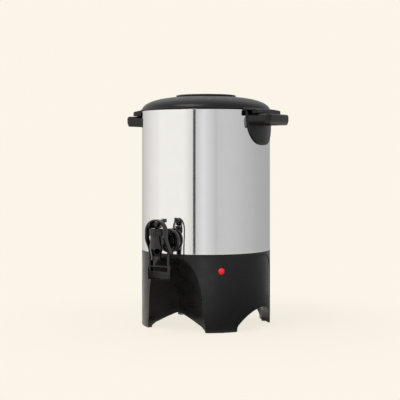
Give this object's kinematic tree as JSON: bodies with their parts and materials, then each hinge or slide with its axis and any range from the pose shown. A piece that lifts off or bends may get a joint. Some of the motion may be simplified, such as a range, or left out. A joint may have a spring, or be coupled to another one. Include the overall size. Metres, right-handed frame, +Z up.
{
  "type": "coffee urn",
  "caption": "Electric coffee urn: steel tank on a four-footed black base, twist-lock lid, ledge handles, percolator and a lever tap.",
  "frame": {"origin": "on the floor, in the middle of the footprint of the whole urn; the tank's own axis is 24.7 mm behind it", "axes": "+Z up; the tap points along -Y; the handles point along +X and -X"},
  "size_m": [0.253, 0.2462, 0.347],
  "materials": {
    "polished_steel": "stainless steel, polished bright",
    "satin_plastic": "black polypropylene, moulded satin",
    "gloss_plastic": "black plastic, moulded glossy",
    "moulded_black": "black phenolic, moulded",
    "tap_plastic": "black plastic, moulded semi-gloss",
    "rubber": "black rubber",
    "silicone": "translucent silicone, moulded",
    "zinc_steel": "zinc plated steel",
    "spring_steel": "stainless wire, drawn",
    "nickel_plate": "nickel plated brass",
    "cast_aluminium": "aluminium, die cast",
    "aluminium_tube": "aluminium, drawn and spun",
    "aluminium_sheet": "aluminium sheet, pressed and pierced",
    "element_sheath": "heater sheath, heat tinted steel",
    "lead_black": "black silicone insulation",
    "lead_white": "white silicone insulation",
    "red_lens": "red polycarbonate, moulded glossy",
    "lamp_glass": "neon lamp glass"
  },
  "bodies": {
    "urn": {"tank": "polished_steel", "handle_right": "satin_plastic", "handle_left": "satin_plastic", "handle_studs": "zinc_steel", "handle_nuts": "zinc_steel", "base_housing": "satin_plastic", "bottom_cover": "satin_plastic", "bottom_screws": "zinc_steel", "foot_pads": "rubber", "tie_rods": "zinc_steel", "tie_rod_nuts": "zinc_steel", "heater_plate": "cast_aluminium", "brew_element": "element_sheath", "keep_warm_band": "element_sheath", "heater_nut": "zinc_steel", "thermostat": "cast_aluminium", "thermal_fuse": "zinc_steel", "lead_line": "lead_black", "lead_heater": "lead_black", "lead_return": "lead_white", "lead_lamp": "lead_black", "indicator_lens": "red_lens", "indicator_lamp": "lamp_glass", "inlet_shroud": "moulded_black", "inlet_pins": "nickel_plate", "inlet_screws": "zinc_steel", "tap_body": "tap_plastic", "tap_flange_nut": "tap_plastic", "tap_outer_washer": "silicone", "tap_inner_washer": "silicone", "tap_lock_nut": "tap_plastic", "tap_bonnet": "tap_plastic", "tap_spring": "spring_steel"},
    "tap_stem": {"tap_stem": "tap_plastic", "tap_seat_cup": "silicone"},
    "tap_lever": {"tap_lever": "tap_plastic", "lever_pin": "spring_steel"},
    "lid_gasket": {"lid_gasket": "silicone"},
    "lid": {"lid": "satin_plastic", "lid_grip": "gloss_plastic", "lid_grip_screws": "zinc_steel"},
    "pump": {"pump_tube": "aluminium_tube", "pump_foot": "aluminium_tube"},
    "basket": {"coffee_basket": "aluminium_sheet"},
    "cover": {"basket_cover": "aluminium_sheet"}
  },
  "joints": [
    {"name": "lid_lift", "type": "slide", "parent": "urn", "child": "lid_gasket", "axis": [0, 0, 1], "range_m": [0, 0.45]},
    {"name": "lid_turn", "type": "hinge", "parent": "lid_gasket", "child": "lid", "pos_m": [0, 0.02467, 0.323], "axis": [0, 0, 1], "range_deg": [-7.5, 0]},
    {"name": "pump_lift", "type": "slide", "parent": "urn", "child": "pump", "axis": [0, 0, 1], "range_m": [0, 0.226]},
    {"name": "basket_lift", "type": "slide", "parent": "pump", "child": "basket", "axis": [0, 0, 1], "range_m": [0, 0.0905]},
    {"name": "cover_lift", "type": "slide", "parent": "basket", "child": "cover", "axis": [0, 0, 1], "range_m": [0, 0.0905]},
    {"name": "stem_lift", "type": "slide", "parent": "urn", "child": "tap_stem", "axis": [0, 0, 1], "range_m": [0, 0.0022], "deforming": ["tap_spring"]},
    {"name": "lever_tip", "type": "hinge", "parent": "tap_stem", "child": "tap_lever", "pos_m": [0, -0.11202, 0.157], "axis": [1, 0, 0], "range_deg": [0, 20], "stiffness_Nm_per_rad": 0.15, "springref_deg": -28.65}
  ],
  "couplings": [
    {"joint": "pump_lift", "follows": "lid_lift", "ratio": 0.5},
    {"joint": "basket_lift", "follows": "lid_lift", "ratio": 0.2},
    {"joint": "cover_lift", "follows": "lid_lift", "ratio": 0.2},
    {"joint": "stem_lift", "follows": "lever_tip", "m_per_rad": 0.006}
  ]
}
